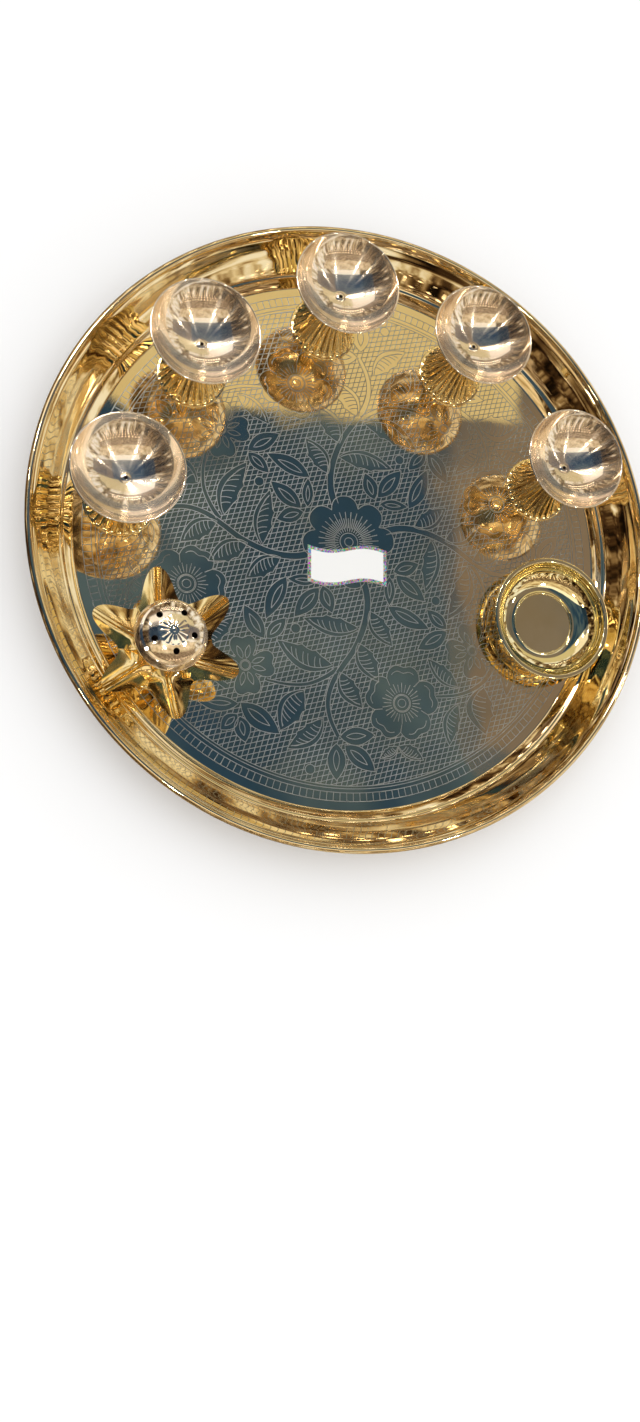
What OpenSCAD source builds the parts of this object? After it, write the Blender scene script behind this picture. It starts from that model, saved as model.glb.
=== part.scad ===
// Puja thali: a spun brass tray that carries five stemmed goblets, a low katori
// and a lotus incense stand, all standing loose on its floor.
// Millimetres, +Z up, origin at the middle of the tray's underside.
// Heights of the loose pieces are measured from their own seat on the tray's floor.

/* [Tray] */
// Radius of the flat engraved floor
floor_r = 122.3; // [118:0.1:128]
// Sheet thickness of the tray
tray_t = 0.8; // [0.6:0.05:1.2]
// Height of the tray over its rolled edge
tray_h = 21.1; // [18:0.1:28]
// Run of the ramp around the floor
ramp_w = 3.2; // [2.4:0.1:4]
// Rise of the ramp around the floor
ramp_h = 3.0; // [2:0.1:4]
// Width of the ledge above the ramp
ledge_w = 1.0; // [0.6:0.1:2]
// Rise of the ledge across its width
ledge_h = 0.3; // [0.1:0.05:0.6]
// How far the wall flares outward
flare_w = 10.7; // [8:0.1:14]
// Width of the raised line under the rolled edge
line_w = 1.1; // [0.8:0.1:1.6]
// Rise of the raised line under the rolled edge
line_h = 0.9; // [0.6:0.1:1.4]
// Radius of the rolled edge
curl_r = 1.5; // [1.3:0.05:1.9]

/* [Label] */
// Length of the blank paper label
label_w = 37; // [20:0.5:45]
// Width of the blank paper label
label_d = 20; // [12:0.5:26]
// Corner radius of the label
label_corner = 2.5; // [1:0.1:4]
// Thickness of the label
label_t = 0.15; // [0.1:0.05:0.3]
// Label centre, across the tray
label_x = -2.0; // [-8:0.5:8]
// Label centre, along the tray
label_y = -11.0; // [-16:0.5:0]
// Turn of the label
label_turn = -7; // [-20:1:20]

/* [Places on the tray] */
// Space between a fluted foot's hem and the floor's edge
stand_space = 5.3; // [4.5:0.1:7]
// Gap left under each loose piece
seat_gap = 0.05; // [0.02:0.01:0.1]

/* [Goblets] */
// Height of a goblet
goblet_h = 43.2; // [39:0.1:48]
// Radius of the bowl over its lip
bowl_r = 23.0; // [20:0.1:24]
// Radius of the sphere that the inside of the bowl follows
bowl_curve_r = 24.8; // [24:0.1:28]
// Sheet thickness of the bowl
bowl_t = 0.6; // [0.5:0.05:0.65]
// Radius to which the bowl's lip is rolled outward
lip_roll_r = 0.75; // [0.7:0.05:1]

/* [Fluted feet] */
// Radius of the hem that stands on the tray
hem_r = 15.5; // [15.1:0.1:17]
// Thickness of the hem
hem_t = 0.9; // [0.6:0.1:1.4]
// Width of the hem outside the flutes
hem_w = 1.1; // [0.8:0.1:2]
// Radius of the fluted cone at its neck
neck_r = 4.6; // [4.2:0.1:6]
// Number of flutes
flutes = 28; // [20:1:32]
// Depth of a flute at the hem
flute_d = 0.9; // [0.4:0.05:1.1]
// Wall thickness of a foot, behind its flutes
foot_t = 0.7; // [0.5:0.05:0.9]
// Thickness of the plate that closes a foot at its neck
plate_t = 1.0; // [0.8:0.1:1.4]

/* [Rivets] */
// Radius of a rivet's shank
rivet_r = 1.4; // [1.2:0.05:1.6]
// Radius of a rivet's heads
rivet_head_r = 2.3; // [2.1:0.1:2.6]
// Height of a rivet's heads
rivet_head_h = 0.6; // [0.4:0.05:0.8]
// Clearance around a shank in its hole
shank_gap = 0.1; // [0.05:0.01:0.2]

/* [Katori] */
// Radius of the katori over its rim
katori_r = 28.9; // [28:0.1:30]
// How far the katori's rim reaches out over the tray's ledge
katori_reach = 2.6; // [2:0.1:3]
// Height of the katori
katori_h = 12.0; // [10:0.1:16]
// Radius of the flat base
katori_base_r = 15.0; // [12:0.1:18]
// Width of the katori's rim
katori_rim_w = 2.5; // [2.2:0.1:3.2]
// Sheet thickness of the katori
katori_t = 0.7; // [0.5:0.05:0.8]
// Height of the raised line around the base
katori_line_h = 0.5; // [0.3:0.05:0.7]

/* [Incense stand] */
// Height of the incense stand
incense_h = 52.6; // [48:0.1:58]
// Height of the foot under the petals
incense_foot_h = 16.4; // [14:0.1:18]
// Number of petals
petals = 6; // [5:1:8]
// Reach of the petal tips from the stand's axis
petal_r = 31.4; // [28:0.1:33]
// Length of a petal beyond the notches
petal_len = 12.4; // [10:0.1:14]
// Rise of the petal tips above the middle of the sheet
petal_lift = 11.3; // [7:0.1:13]
// Thickness of the petal sheet
petal_t = 0.8; // [0.6:0.05:1]
// Turn of the first petal
petal_turn = 32; // [0:1:59]
// Radius of the flat middle of the petal sheet
petal_flat_r = 5.4; // [5:0.1:6]
// Radius at which the petals begin to rise
petal_rise_r = 12.0; // [9:0.1:14]
// Radius of the cup's mouth
cup_mouth_r = 11.6; // [11.4:0.1:12]
// How far the cup's turned-down rim stands out from its mouth
cup_skirt_out = 2.9; // [2.6:0.1:3.6]
// How far the cup's rim turns down
cup_skirt_drop = 4.6; // [4:0.1:5]
// Radius of the rounded crest of the cup's rim
cup_crest_r = 0.7; // [0.65:0.05:0.8]
// Height of the milled band along the cup's lower edge
mill_h = 1.2; // [0.8:0.1:1.6]
// Sheet thickness of the cup
cup_t = 0.6; // [0.4:0.05:0.6]
// Depth of the cup
cup_depth = 6.0; // [5:0.1:8]
// Height of the cap above the cup
cap_h = 6.5; // [6:0.1:8]
// Thickness of the pierced cap
cap_t = 1.2; // [1:0.05:1.4]
// Rise of the cap's dome
dome_h = 3.4; // [2.8:0.1:4]
// How far the cap's lip, which rests on the cup, stands out from its dome
lip_w = 0.9; // [0.8:0.1:1.2]
// Height of the cap's lip
lip_h = 1.5; // [1.2:0.1:2]
// Number of incense holes
sticks = 5; // [3:1:7]
// Radius of an incense hole
stick_hole_r = 1.25; // [1:0.05:1.5]
// How far inside the dome's edge the incense holes lie
stick_inset = 3.5; // [3:0.1:3.8]
// Turn of the first incense hole
stick_turn = 55; // [0:1:71]
// Radius of the stem's waist
stem_r = 3.4; // [3.2:0.1:4.2]
// Height of the stem's end flanges
stem_flange_h = 1.6; // [1.2:0.1:2.4]
// Radius of the ball in the middle of the stem
stem_ball_r = 5.4; // [4.6:0.1:6]
// Radius of the rod through the stand
rod_r = 2.0; // [1.8:0.05:2.3]

/* [Hidden] */
GOBLETS = 5;

$fn = 96;
brass = "#d9b25f";
pale_brass = "#d8cba8";
paper = "#eeeeea";

// The bowl is flat this far round the rivet's head
bowl_flat_w = 0.5;

// Direction of each piece from the tray's centre, and its share of the circle they stand on
goblet_deg = [168, 129, 90, 53, 13];
goblet_ring_shares = [1.015, 1, 1.005, 0.985, 0.98];
katori_deg = -25.5;
incense_deg = 207.3;
incense_ring_share = 1.006;

ring_r = floor_r - stand_space - hem_r;
katori_place_r = floor_r + ramp_w + ledge_w + katori_reach - katori_r;
seat_z = tray_t + seat_gap;
bowl_edge_deg = asin((bowl_r - lip_roll_r) / (bowl_curve_r + lip_roll_r));
bowl_flat_r = rivet_head_r + bowl_flat_w;
bowl_flat_deg = asin(bowl_flat_r / bowl_curve_r);
lip_roll_z = goblet_h - lip_roll_r;
bowl_mid_z = lip_roll_z + (bowl_curve_r + lip_roll_r) * cos(bowl_edge_deg);
bowl_floor_z = bowl_mid_z - bowl_curve_r * cos(bowl_flat_deg);
goblet_foot_h = bowl_floor_z - bowl_t;
cone_r = hem_r - hem_w;
neck_inner_r = neck_r - flute_d * (neck_r / cone_r) - foot_t;
katori_mouth_r = katori_r - katori_rim_w;
notch_r = petal_r - petal_len;
petal_tip_z = incense_foot_h + petal_t + petal_lift;
stem_flange_r = petal_flat_r - 2 * shank_gap;
rod_head_r = neck_inner_r - 2 * shank_gap;
cup_skirt_r = cup_mouth_r + cup_skirt_out;
cup_top_z = incense_h - cap_h;
cup_floor_z = cup_top_z - cup_depth;
dome_r = cup_mouth_r;
lip_r = dome_r + lip_w;
lip_inner_r = cup_mouth_r - shank_gap;
stick_ring_r = dome_r - stick_inset;
stem_foot_z = incense_foot_h + petal_t;
stem_h = cup_floor_z - cup_t - stem_foot_z;
// The rolled edge starts this far outside the raised line
curl_gap = 0.2;
curl_x = floor_r + ramp_w + ledge_w + flare_w + line_w + curl_r + curl_gap;
curl_z = tray_h - curl_r;
// Radii that ease the corners of the tray's section
ramp_ease = 1.5;
wall_ease = 3.0;
// How far the ridges of a foot's flutes draw in with height: a hollow-sided cone
cone_bend = 1.7;
// Places of the crease in the cup's turned-down rim, across and down
crease_across_share = 0.52;
crease_down_share = 0.42;
// Width of the flat rim of the katori beyond its crest, and its droop
katori_crest_r = 0.9;
katori_rim_drop = 0.9;
// Steepness of the petals' sides: rise for each unit away from the middle line
petal_cup_share = 0.65;
petal_bend = 1.4;
petal_point = 2.3;
petal_blend_w = 9;
// Steps of the petal sheet, outward and around each petal
petal_rings = 7;
petal_steps = 12;
// Rings of a foot's fluted cone
cone_rings = 6;
// The milled band stands this far out of the skirt above it
mill_out = 0.25;
// Radius between the cup's bottom and its wall
cup_ease = 2;
// Overrun of a cut beyond the face it leaves
over = 1;
// How far the cap reaches down into the cup
lip_plug_h = 1.6;

// Round or oval stretch of an outline, about [x, z], from a0 to a1 degrees in n steps
function oval(x, z, rx, rz, a0, a1, n) =
    [for (i = [0 : n]) let (a = a0 + (a1 - a0) * i / n) [x + rx * cos(a), z + rz * sin(a)]];

// Unit normal on the left of the run from p to q
function left_of(p, q) = let (d = q - p) [-d[1], d[0]] / norm(d);

// Step at corner i of outline p that moves both runs beside it by one unit
function mitre(p, i) =
    let (last = len(p) - 1,
         a = left_of(p[max(i - 1, 0)], p[max(i, 1)]),
         b = left_of(p[min(i, last - 1)], p[min(i + 1, last)]))
    (a + b) / (1 + a * b);

// Section of a sheet of thickness t whose shown face runs along outline p
function sheet(p, t) = concat(p, [for (i = [len(p) - 1 : -1 : 0]) p[i] - t * mitre(p, i)]);

// Crest and turned-down skirt that end the cup's rim: mouth radius, top, crest radius,
// outer radius and drop
function turned_rim(mouth, top, crest, outer, drop) =
    let (bend = oval(mouth + crest, top - crest, crest, crest, 180, 50, 6),
         from = bend[len(bend) - 1],
         end = [outer, top - drop])
    concat(bend,
           [[from[0] + (end[0] - from[0]) * crease_across_share,
             from[1] + (end[1] - from[1]) * crease_down_share]],
           [end]);

module spun(outline, t) rotate_extrude() polygon(sheet(outline, t));

// Sets what it holds on the tray's floor, at a direction and a distance from its centre
module stand(deg, place_r)
    translate([place_r * cos(deg), place_r * sin(deg), seat_z]) children();

function tray_outline() =
    let (ramp = atan(ramp_h / ramp_w),
         ledge = [floor_r + ramp_w + ledge_w, tray_t + ramp_h + ledge_h],
         wall_top = [ledge[0] + flare_w, tray_h - curl_r - line_h - ledge_w],
         wall = atan((wall_top[1] - ledge[1]) / flare_w))
    concat(
        [[0, tray_t]],
        oval(floor_r - ramp_ease * tan(ramp / 2), tray_t + ramp_ease, ramp_ease, ramp_ease,
             -90, ramp - 90, 3),
        [[floor_r + ramp_w, tray_t + ramp_h]],
        oval(ledge[0] - wall_ease * tan(wall / 2) / 2, ledge[1] + wall_ease, wall_ease, wall_ease,
             -84, wall - 90, 4),
        [wall_top],
        [[wall_top[0] + line_w, wall_top[1] + line_h]],
        oval(curl_x, curl_z, curl_r, curl_r, 170, -120, 18));

module thali_tray() color(brass) spun(tray_outline(), tray_t);

module blank_label()
    color(paper)
        translate([label_x, label_y, tray_t])
            rotate(label_turn)
                linear_extrude(label_t)
                    union() {
                        square([label_w - 2 * label_corner, label_d], center = true);
                        square([label_w, label_d - 2 * label_corner], center = true);
                        for (x = [-1, 1], y = [-1, 1])
                            translate([x * (label_w / 2 - label_corner),
                                       y * (label_d / 2 - label_corner)])
                                circle(label_corner);
                    }

// Radius of a foot's ridges at height z, for a foot of height h
function ridge_r(z, h) =
    neck_r + (cone_r - neck_r) * pow(max(0, 1 - (z - hem_t) / (h - hem_t)), cone_bend);

// Depth of a foot's flutes at height z: they fade towards the neck
function flute_at(z, h) = flute_d * (ridge_r(z, h) / cone_r);

function foot_ring(z, out, in) =
    [for (i = [0 : 2 * flutes - 1])
        let (a = 180 * i / flutes, r = i % 2 == 0 ? out : in) [r * cos(a), r * sin(a), z]];

// Fluted cone on a plain hem: rings of points joined by triangles
module fluted_cone(h) {
    around = 2 * flutes;
    levels = [for (k = [0 : cone_rings]) hem_t + (h - hem_t) * k / cone_rings];
    rings = concat(
        [foot_ring(0, hem_r, hem_r), foot_ring(hem_t, hem_r, hem_r)],
        [for (z = levels) foot_ring(z, ridge_r(z, h), ridge_r(z, h) - flute_at(z, h))]);
    top = len(rings) - 1;
    sides = [for (k = [0 : top - 1], i = [0 : around - 1], half = [0, 1])
        let (j = (i + 1) % around, low = k * around, high = low + around)
        half == 0 ? [low + i, high + i, high + j] : [low + i, high + j, low + j]];
    polyhedron(
        points = [for (ring = rings, p = ring) p],
        faces = concat([[for (i = [0 : around - 1]) i]], sides,
                       [[for (i = [around - 1 : -1 : 0]) top * around + i]]));
}

// Hollow fluted foot, open below and closed by a plate with a hole at its neck
module foot(h, hole) {
    inside = [for (k = [0 : cone_rings])
        let (z = hem_t + (h - plate_t - hem_t) * k / cone_rings)
        [ridge_r(z, h) - flute_at(z, h) - foot_t, z]];
    difference() {
        fluted_cone(h);
        rotate_extrude()
            polygon(concat([[0, -over], [inside[0][0], -over]], inside, [[0, h - plate_t]]));
        cylinder(h = h + over, r = hole);
    }
}

function bowl_outline() =
    concat(
        [[rivet_r + shank_gap, bowl_floor_z]],
        oval(0, bowl_mid_z, bowl_curve_r, bowl_curve_r, bowl_flat_deg - 90, bowl_edge_deg - 90, 10),
        oval(bowl_r - lip_roll_r, lip_roll_z, lip_roll_r, lip_roll_r, 80 + bowl_edge_deg, 10, 5));

module goblet_bowl(i)
    stand(goblet_deg[i], ring_r * goblet_ring_shares[i])
        color(pale_brass) spun(bowl_outline(), bowl_t);

module goblet_foot(i)
    stand(goblet_deg[i], ring_r * goblet_ring_shares[i])
        color(brass) foot(goblet_foot_h, rivet_r + shank_gap);

// Rivet through the bowl and the foot's plate, with a low head at each end
module goblet_rivet(i)
    stand(goblet_deg[i], ring_r * goblet_ring_shares[i])
        color(pale_brass) {
            translate([0, 0, goblet_foot_h - plate_t - rivet_head_h])
                cylinder(h = rivet_head_h, r = rivet_head_r);
            translate([0, 0, goblet_foot_h - plate_t - rivet_head_h])
                cylinder(h = plate_t + bowl_t + 2 * rivet_head_h, r = rivet_r);
            translate([0, 0, bowl_floor_z])
                cylinder(h = rivet_head_h, r1 = rivet_head_r, r2 = rivet_r);
        }

function katori_outline() =
    let (line_z = katori_t + katori_line_h,
         crest_z = katori_h - katori_crest_r)
    concat(
        [[0, katori_t], [katori_base_r - katori_line_h, katori_t]],
        oval(katori_base_r, crest_z, katori_mouth_r - katori_base_r, crest_z - line_z, -90, 0, 12),
        oval(katori_mouth_r + katori_crest_r, crest_z, katori_crest_r, katori_crest_r, 160, 80, 4),
        [[katori_r - katori_crest_r, katori_h - katori_crest_r / 2],
         [katori_r, katori_h - katori_rim_drop]]);

module katori() stand(katori_deg, katori_place_r) color(brass) spun(katori_outline(), katori_t);

module incense_place() stand(incense_deg, ring_r * incense_ring_share) children();

module incense_foot()
    incense_place() color(brass) foot(incense_foot_h, rod_r + shank_gap);

// Outline radius of the petal sheet at angle a off the middle line of the nearest petal
function petal_edge(a) =
    notch_r + (petal_r - notch_r) * pow(max(0, cos(petals * a / 2)), petal_point);

// Top of the petal sheet at distance x along a petal's middle line and w beside it
function petal_z(x, w) =
    let (low = incense_foot_h + petal_t,
         out = max(0, x - petal_rise_r) / (petal_r - petal_rise_r),
         fade = min(1, max(0, x - petal_flat_r) / petal_blend_w))
    low + (petal_tip_z - low) * pow(out, petal_bend) + petal_cup_share * abs(w) * fade;

function petal_point_at(k, i, down) =
    let (step = 360 / petals / petal_steps,
         a = (i % petal_steps) * step - 180 / petals,
         r = k == 0 ? rod_r + shank_gap
             : petal_flat_r + (petal_edge(a) - petal_flat_r) * (k - 1) / (petal_rings - 1),
         turn = petal_turn - 180 / petals + i * step)
    [r * cos(turn), r * sin(turn), petal_z(r * cos(a), r * sin(a)) - down];

// Pressed lotus sheet: an upper and a lower grid of points, closed at the hole and the edge
module petal_sheet() {
    around = petals * petal_steps;
    rings = petal_rings + 1;
    below = rings * around;
    points = [for (down = [0, petal_t], k = [0 : petal_rings], i = [0 : around - 1])
        petal_point_at(k, i, down)];
    grid = [for (k = [0 : petal_rings - 1], i = [0 : around - 1], half = [0, 1])
        let (j = (i + 1) % around, low = k * around, high = low + around)
        half == 0 ? [low + i, high + j, high + i] : [low + i, low + j, high + j]];
    under = [for (f = grid) [f[0] + below, f[2] + below, f[1] + below]];
    edges = [for (k = [0, petal_rings], i = [0 : around - 1], half = [0, 1])
        let (j = (i + 1) % around, t = k * around, b = t + below,
             f = half == 0 ? [t + i, t + j, b + j] : [t + i, b + j, b + i])
        k == 0 ? [f[0], f[2], f[1]] : f];
    polyhedron(points = points, faces = concat(grid, under, edges));
}

module incense_petals() incense_place() color(brass) petal_sheet();

// Turned stem between the petals and the cup, bored for the rod
module incense_stem()
    incense_place()
        color(brass)
            translate([0, 0, stem_foot_z])
                rotate_extrude()
                    difference() {
                        union() {
                            square([stem_r, stem_h]);
                            square([stem_flange_r, stem_flange_h]);
                            translate([0, stem_h - stem_flange_h])
                                square([stem_flange_r, stem_flange_h]);
                            intersection() {
                                translate([0, stem_h / 2]) circle(stem_ball_r, $fn = 32);
                                square([stem_ball_r, stem_h]);
                            }
                        }
                        translate([0, -over]) square([rod_r + shank_gap, stem_h + 2 * over]);
                    }

function cup_outline() =
    concat(
        [[rod_r + shank_gap, cup_floor_z]],
        oval(cup_mouth_r - cup_ease, cup_floor_z + cup_ease, cup_ease, cup_ease, -90, 0, 4),
        turned_rim(cup_mouth_r, cup_top_z, cup_crest_r, cup_skirt_r - mill_out,
                   cup_skirt_drop - mill_h));

module incense_cup()
    incense_place()
        color(pale_brass) {
            spun(cup_outline(), cup_t);
            translate([0, 0, cup_top_z - cup_skirt_drop])
                difference() {
                    cylinder(h = mill_h, r = cup_skirt_r);
                    translate([0, 0, -over])
                        cylinder(h = mill_h + 2 * over, r = cup_skirt_r - mill_out - cup_t);
                }
        }

// Domed cap with a stepped lip that rests on the cup and plugs its mouth
function cap_section() =
    let (dome_z = incense_h - dome_h,
         ball_r = (dome_r * dome_r + dome_h * dome_h) / (2 * dome_h),
         half = asin(dome_r / ball_r),
         inner_r = ball_r - cap_t,
         inner_half = asin((dome_r - cap_t) / inner_r))
    concat(
        oval(0, incense_h - ball_r, ball_r, ball_r, 90, 90 - half, 10),
        [[dome_r, cup_top_z + lip_h], [lip_r, cup_top_z + lip_h], [lip_r, cup_top_z],
         [lip_inner_r, cup_top_z], [lip_inner_r, cup_top_z - lip_plug_h],
         [dome_r - cap_t, cup_top_z - lip_plug_h]],
        oval(0, incense_h - ball_r, inner_r, inner_r, 90 - inner_half, 90, 8));

module incense_cap()
    incense_place()
        color(pale_brass)
            difference() {
                rotate_extrude() polygon(cap_section());
                for (i = [0 : sticks - 1])
                    rotate(stick_turn + 360 * i / sticks)
                        translate([stick_ring_r, 0, cup_top_z])
                            cylinder(h = incense_h - cup_top_z + over, r = stick_hole_r, $fn = 48);
            }

// Headed rod that clamps the foot, petals, stem and cup together
module incense_rod()
    incense_place()
        color(brass) {
            low = incense_foot_h - plate_t;
            translate([0, 0, low - rivet_head_h]) cylinder(h = rivet_head_h, r = rod_head_r);
            translate([0, 0, low - rivet_head_h])
                cylinder(h = cup_floor_z - low + 2 * rivet_head_h, r = rod_r);
            translate([0, 0, cup_floor_z]) cylinder(h = rivet_head_h, r = rod_head_r);
        }

thali_tray();
blank_label();
for (i = [1 : GOBLETS]) {
    goblet_bowl(i - 1);
    goblet_foot(i - 1);
    goblet_rivet(i - 1);
}
katori();
incense_foot();
incense_petals();
incense_stem();
incense_cup();
incense_cap();
incense_rod();
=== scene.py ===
# %% [markdown]
# # A brass puja thali, in Blender
# A puja thali is a worship tray. This one is spun from brass sheet and engraved on its floor.
# Five stemmed goblets, a low katori and a lotus incense stand are set loose on it.
# The CAD model fixes every size and place. This notebook gives each piece its visible form and
# finish.

# %% The frame
import math

import bmesh
import bpy
import numpy as np
from mathutils import Matrix, Vector


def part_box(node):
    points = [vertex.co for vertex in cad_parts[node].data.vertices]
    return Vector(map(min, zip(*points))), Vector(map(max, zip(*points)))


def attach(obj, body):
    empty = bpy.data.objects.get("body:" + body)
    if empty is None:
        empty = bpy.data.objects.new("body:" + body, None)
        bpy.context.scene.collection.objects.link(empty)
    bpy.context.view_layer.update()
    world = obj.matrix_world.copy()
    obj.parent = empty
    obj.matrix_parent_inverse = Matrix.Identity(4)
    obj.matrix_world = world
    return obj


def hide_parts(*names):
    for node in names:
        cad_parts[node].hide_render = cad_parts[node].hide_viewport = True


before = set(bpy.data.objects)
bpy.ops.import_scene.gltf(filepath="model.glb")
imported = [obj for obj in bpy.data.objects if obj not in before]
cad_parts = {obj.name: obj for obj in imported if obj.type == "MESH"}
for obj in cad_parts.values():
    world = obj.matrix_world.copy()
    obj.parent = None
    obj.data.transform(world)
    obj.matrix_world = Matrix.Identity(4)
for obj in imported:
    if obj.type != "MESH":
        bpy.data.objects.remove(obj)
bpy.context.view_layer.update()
MM = 0.001


# %% [markdown]
# ## Where each piece stands
# The lowest and highest corners of a CAD node give its axis and its seat,
# so no place has to be typed again here.

# %% Axes and seats
def axis_of(node):
    """The middle of a node seen from above, at the height of its lowest point, in metres."""
    low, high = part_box(node)
    return Vector(((low.x + high.x) / 2, (low.y + high.y) / 2, low.z))


GOBLETS = [1, 2, 3, 4, 5]
goblet_seat = {i: axis_of(f"goblet_foot_{i}") for i in GOBLETS}
katori_seat = axis_of("katori")
incense_seat = axis_of("incense_foot")
for i in GOBLETS:
    print("goblet", i, "stands at", [round(c / MM, 1) for c in goblet_seat[i]], "mm")


# %% [markdown]
# ## Camera
# The photograph looks steeply down from the near left, tilted a little to one side.
# An eye point, a point to aim at and the direction of the picture's right edge fix such a view.

# %% Camera
eye = Vector((-156.15, -137.61, 485.25)) * MM
aim = Vector((-1.93, -81.15, 0.8)) * MM
picture_right = Vector((0.9500, -0.1190, 0.2886))
LENS_MM = 29.02
SHIFT = (-0.0324, 0.0053)


def show(name, data):
    """A new object in the scene, made of camera or mesh data."""
    thing = bpy.data.objects.new(name, data)
    bpy.context.scene.collection.objects.link(thing)
    return thing


camera = show("camera", bpy.data.cameras.new("camera"))
bpy.context.scene.camera = camera
backward = (eye - aim).normalized()
upward = backward.cross(picture_right).normalized()
rightward = upward.cross(backward)
turn = Matrix((rightward, upward, backward)).transposed()
camera.matrix_world = Matrix.Translation(eye) @ turn.to_4x4()
camera.data.lens = LENS_MM
camera.data.shift_x, camera.data.shift_y = SHIFT
camera.data.clip_start = 10 * MM
print("camera is", round((eye - aim).length, 3), "m from its aim")


# %% [markdown]
# ## Colours and nodes
# Colours are written as sRGB hex values, as a paint chart gives them, and turned to linear light.
# One helper adds any node, with its settings and its links.

# %% Colours and nodes
def linear(hex_colour):
    """An sRGB colour such as "d9b25f" as linear red, green, blue and full alpha."""
    channels = [int(hex_colour[k:k + 2], 16) / 255 for k in (0, 2, 4)]
    return [c / 12.92 if c <= 0.04045 else ((c + 0.055) / 1.055) ** 2.4 for c in channels] + [1.0]


def add(tree, kind, inputs=None, **settings):
    """One new node. inputs maps a socket's name or number to a value or to another node's output."""
    node = tree.nodes.new(kind)
    for key, value in settings.items():
        setattr(node, key, value)
    for key, value in (inputs or {}).items():
        if isinstance(value, bpy.types.NodeSocket):
            tree.links.new(value, node.inputs[key])
        else:
            node.inputs[key].default_value = value
    return node


def new_material(name):
    """An empty material with its output node."""
    material = bpy.data.materials.new(name)
    material.use_nodes = True
    material.node_tree.nodes.clear()
    return material, material.node_tree, add(material.node_tree, "ShaderNodeOutputMaterial")


def plain(name, settings):
    """A material of one shader with fixed settings."""
    material, tree, output = new_material(name)
    shader = add(tree, "ShaderNodeBsdfPrincipled", settings)
    tree.links.new(shader.outputs[0], output.inputs["Surface"])
    return material


print("a sample gold in linear light:", [round(c, 3) for c in linear("d9b25f")])


# %% [markdown]
# ## Studio
# Polished brass shows what is round it more than it shows itself, so its look is lit with cards:
# plain panels that give light only to mirror-like rays. The camera sees a pale floor and no card.
# Blue-grey cloth hangs overhead, because the tray's floor reflects the ceiling. Warm cloth and lamps
# lie beyond it, and the world shows mirror-like rays soft brown and cream streaks round the horizon.

# %% Floor and soft light
FLOOR_SIZE = 6.0
bpy.context.scene.view_settings.view_transform = "Standard"


def shell(name, points, faces):
    """A new object whose mesh has these points, in metres, and these faces."""
    mesh = bpy.data.meshes.new(name)
    mesh.from_pydata(points, [], faces)
    return show(name, mesh)


def flat_panels(name, centres, width, depth, down, material):
    """Equal level rectangles in one mesh, facing down or up."""
    corners = [Vector(centre) + Vector((x * width / 2, y * depth / 2, 0))
               for centre in centres for x, y in ((-1, -1), (1, -1), (1, 1), (-1, 1))]
    order = (3, 2, 1, 0) if down else (0, 1, 2, 3)
    panel = shell(name, corners, [tuple(4 * k + c for c in order) for k in range(len(centres))])
    panel.data.materials.append(material)
    return panel


studio_white = plain("studio_white_paint", {"Base Color": linear("fcfcfc"), "Roughness": 0.9})
studio_floor = flat_panels("studio_floor", [(0, 0, 0)], FLOOR_SIZE, FLOOR_SIZE, False, studio_white)
studio_floor.visible_glossy = False
print("floor is", FLOOR_SIZE, "m wide")

# %% World
SOFT_STRENGTH, STREAK_STRENGTH = 1.07, 1.0
LOW_SPREAD, HIGH_SPREAD = (1.6, 9.0, 0), (9.0, 2.4, 0)
BLEND_FROM, BLEND_TO = 0.08, 0.26
TILT, TILT_MIDDLE = 0.08, -0.01
STREAKS = [(0.36, "120b05"), (0.44, "4a3420"), (0.50, "9a7e58"), (0.55, "e6d4b0"), (0.61, "fffcf4")]

world = bpy.data.worlds.new("soft_light")
bpy.context.scene.world = world
world.use_nodes = True
tree = world.node_tree
tree.nodes.clear()
toward = add(tree, "ShaderNodeSeparateXYZ", {0: add(tree, "ShaderNodeTexCoord").outputs["Generated"]})
azimuth = add(tree, "ShaderNodeMath", {0: toward.outputs["Y"], 1: toward.outputs["X"]},
              operation="ARCTAN2")
place = add(tree, "ShaderNodeCombineXYZ", {"X": azimuth.outputs[0], "Y": toward.outputs["Z"]})
streaks = []
for spread in (LOW_SPREAD, HIGH_SPREAD):
    stretch = add(tree, "ShaderNodeVectorMath", {0: place.outputs[0], 1: spread},
                  operation="MULTIPLY")
    streaks.append(add(tree, "ShaderNodeTexNoise", {"Vector": stretch.outputs[0], "Scale": 1.0,
                                                    "Detail": 3.5, "Roughness": 0.6}).outputs["Fac"])
high_up = add(tree, "ShaderNodeMapRange",
              {0: toward.outputs["Z"], 1: BLEND_FROM, 2: BLEND_TO, 3: 0.0, 4: 1.0})
streak = add(tree, "ShaderNodeMix", {"Factor": high_up.outputs[0], 2: streaks[0], 3: streaks[1]})
lift = add(tree, "ShaderNodeMath", {0: toward.outputs["X"], 1: TILT, 2: TILT_MIDDLE},
           operation="MULTIPLY_ADD")
level = add(tree, "ShaderNodeMath", {0: streak.outputs[0], 1: lift.outputs[0]}, operation="ADD")
ramp = add(tree, "ShaderNodeValToRGB", {0: level.outputs[0]})
while len(ramp.color_ramp.elements) < len(STREAKS):
    ramp.color_ramp.elements.new(0.5)
for element, (where, hex_colour) in zip(ramp.color_ramp.elements, STREAKS):
    element.position, element.color = where, linear(hex_colour)
shown = add(tree, "ShaderNodeBackground", {"Color": ramp.outputs[0], "Strength": STREAK_STRENGTH})
soft = add(tree, "ShaderNodeBackground", {"Color": linear("ffffff"), "Strength": SOFT_STRENGTH})
mirror_ray = add(tree, "ShaderNodeLightPath").outputs["Is Glossy Ray"]
both = add(tree, "ShaderNodeMixShader", {0: mirror_ray, 1: soft.outputs[0], 2: shown.outputs[0]})
output = add(tree, "ShaderNodeOutputWorld", {"Surface": both.outputs[0]})
print("world has", len(tree.nodes), "nodes")


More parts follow.
